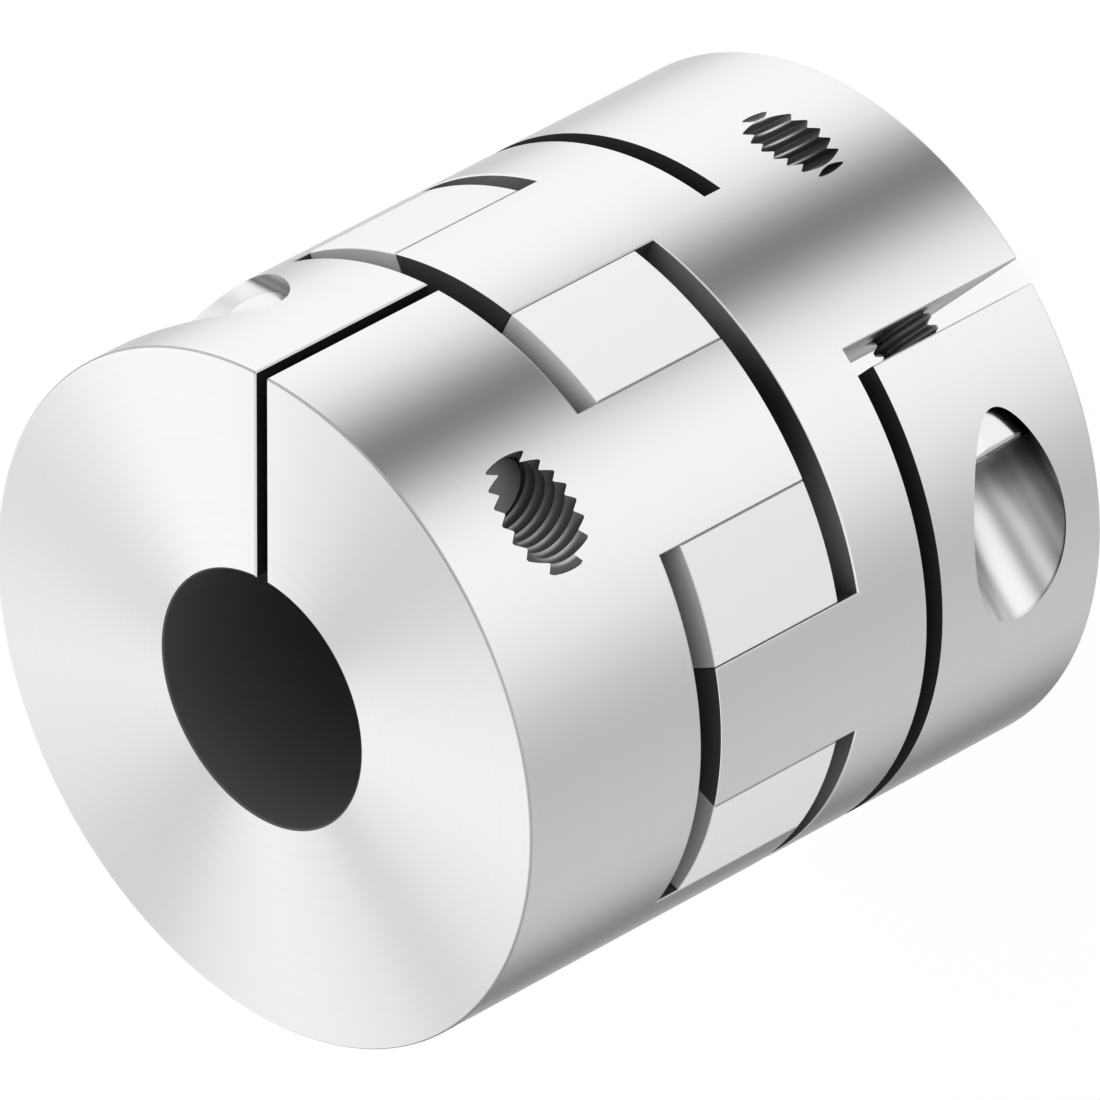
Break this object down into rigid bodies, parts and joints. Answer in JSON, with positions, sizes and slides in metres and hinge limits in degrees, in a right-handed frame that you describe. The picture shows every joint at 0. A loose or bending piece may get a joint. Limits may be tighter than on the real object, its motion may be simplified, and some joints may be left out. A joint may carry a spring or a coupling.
{
  "type": "shaft coupling",
  "caption": "Backlash-free jaw coupling: slit metal clamping hubs with interlocking jaws and a soft star-shaped spider between them.",
  "frame": {"origin": "middle of the rear hub's end face, which the coupling stands on", "axes": "+Z along the coupling's axis from the rear hub to the front hub; -Y towards the rear hub's clamping slit"},
  "size_m": [0.065, 0.065, 0.07],
  "materials": {
    "hub_metal": "fine turned, bare",
    "spider_elastomer": "smooth moulded, matt",
    "screw_steel": "bright head, dark thread"
  },
  "bodies": {
    "root": {"rear_hub": "hub_metal", "front_hub": "hub_metal", "spider": "spider_elastomer", "rear_clamp_screw": "screw_steel", "front_clamp_screw": "screw_steel"}
  },
  "joints": []
}
